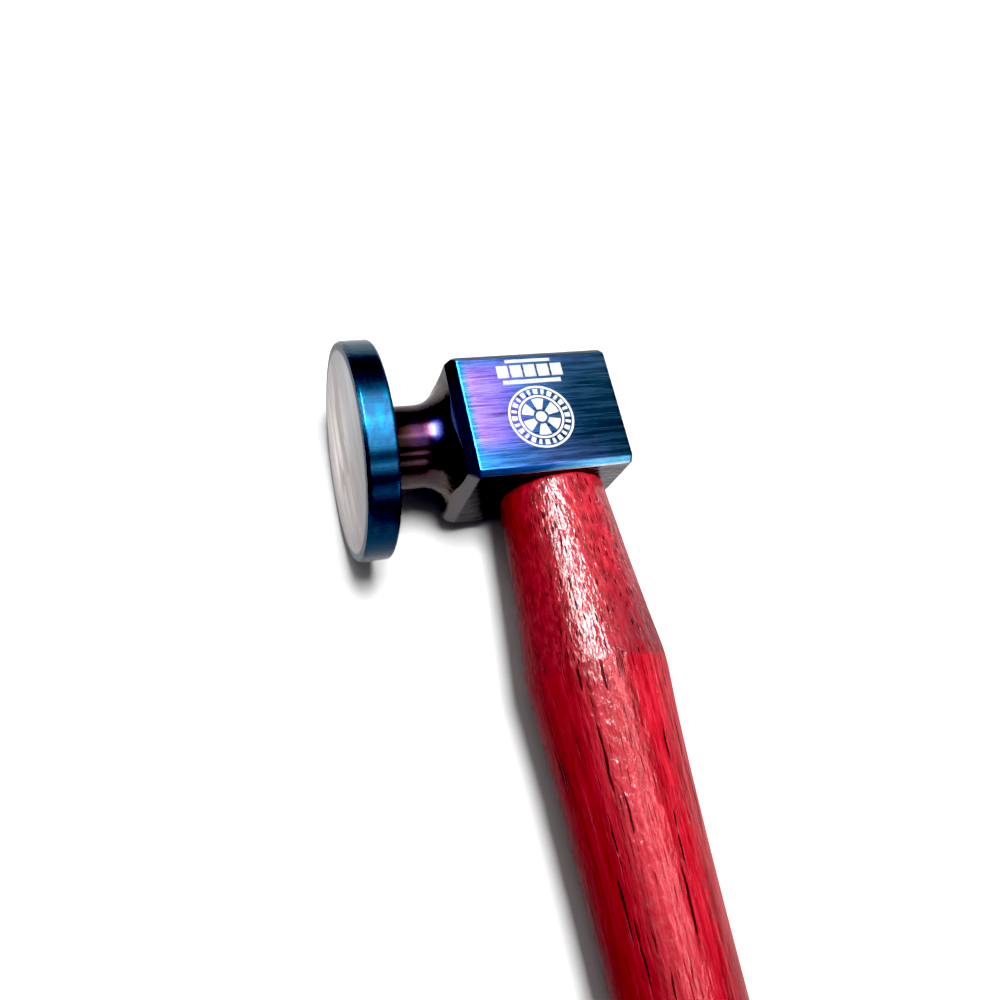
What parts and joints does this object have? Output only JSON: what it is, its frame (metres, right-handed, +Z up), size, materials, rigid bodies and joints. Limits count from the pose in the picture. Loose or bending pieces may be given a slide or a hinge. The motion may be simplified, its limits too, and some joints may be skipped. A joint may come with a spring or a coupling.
{
  "type": "dead blow mallet",
  "caption": "Small single-faced sheet-metal mallet with a round disc face, turned neck, square block with a sealed shot chamber, and a wedged turned wooden handle.",
  "frame": {"origin": "middle of the footprint, on the table that the mallet lies on", "axes": "+Y from the butt up the handle to the head, -X towards the striking face, +Z up from the table; the head is rolled about the handle so that the disc's rim, the block's rear lower edge and the grip touch the table"},
  "size_m": [0.052, 0.305, 0.0382],
  "materials": {
    "blued_metal": "brushed metal with a blue to violet interference film, darker and browner on the neck",
    "bare_metal": "bare satin metal, fine turned and worn streaks",
    "seal_rubber": "matt black nitrile",
    "shot_steel": "polished bearing balls",
    "stained_wood": "open-grain hardwood with a translucent red stain and a gloss oil finish",
    "plain_wood": "unstained hardwood end grain",
    "wedge_steel": "plain steel"
  },
  "bodies": {
    "hammer": {"head_body": "blued_metal", "striking_face": "bare_metal", "face_seal": "seal_rubber", "chamber_buffer": "seal_rubber", "handle": "stained_wood", "kerf_wedge": "plain_wood", "ring_wedge": "wedge_steel"},
    "shot_charge": {"shot": "shot_steel"}
  },
  "joints": [
    {"name": "shot_slide", "type": "slide", "parent": "hammer", "child": "shot_charge", "axis": [-0.984, 0, 0.1784], "range_m": [0, 0.0066]}
  ]
}
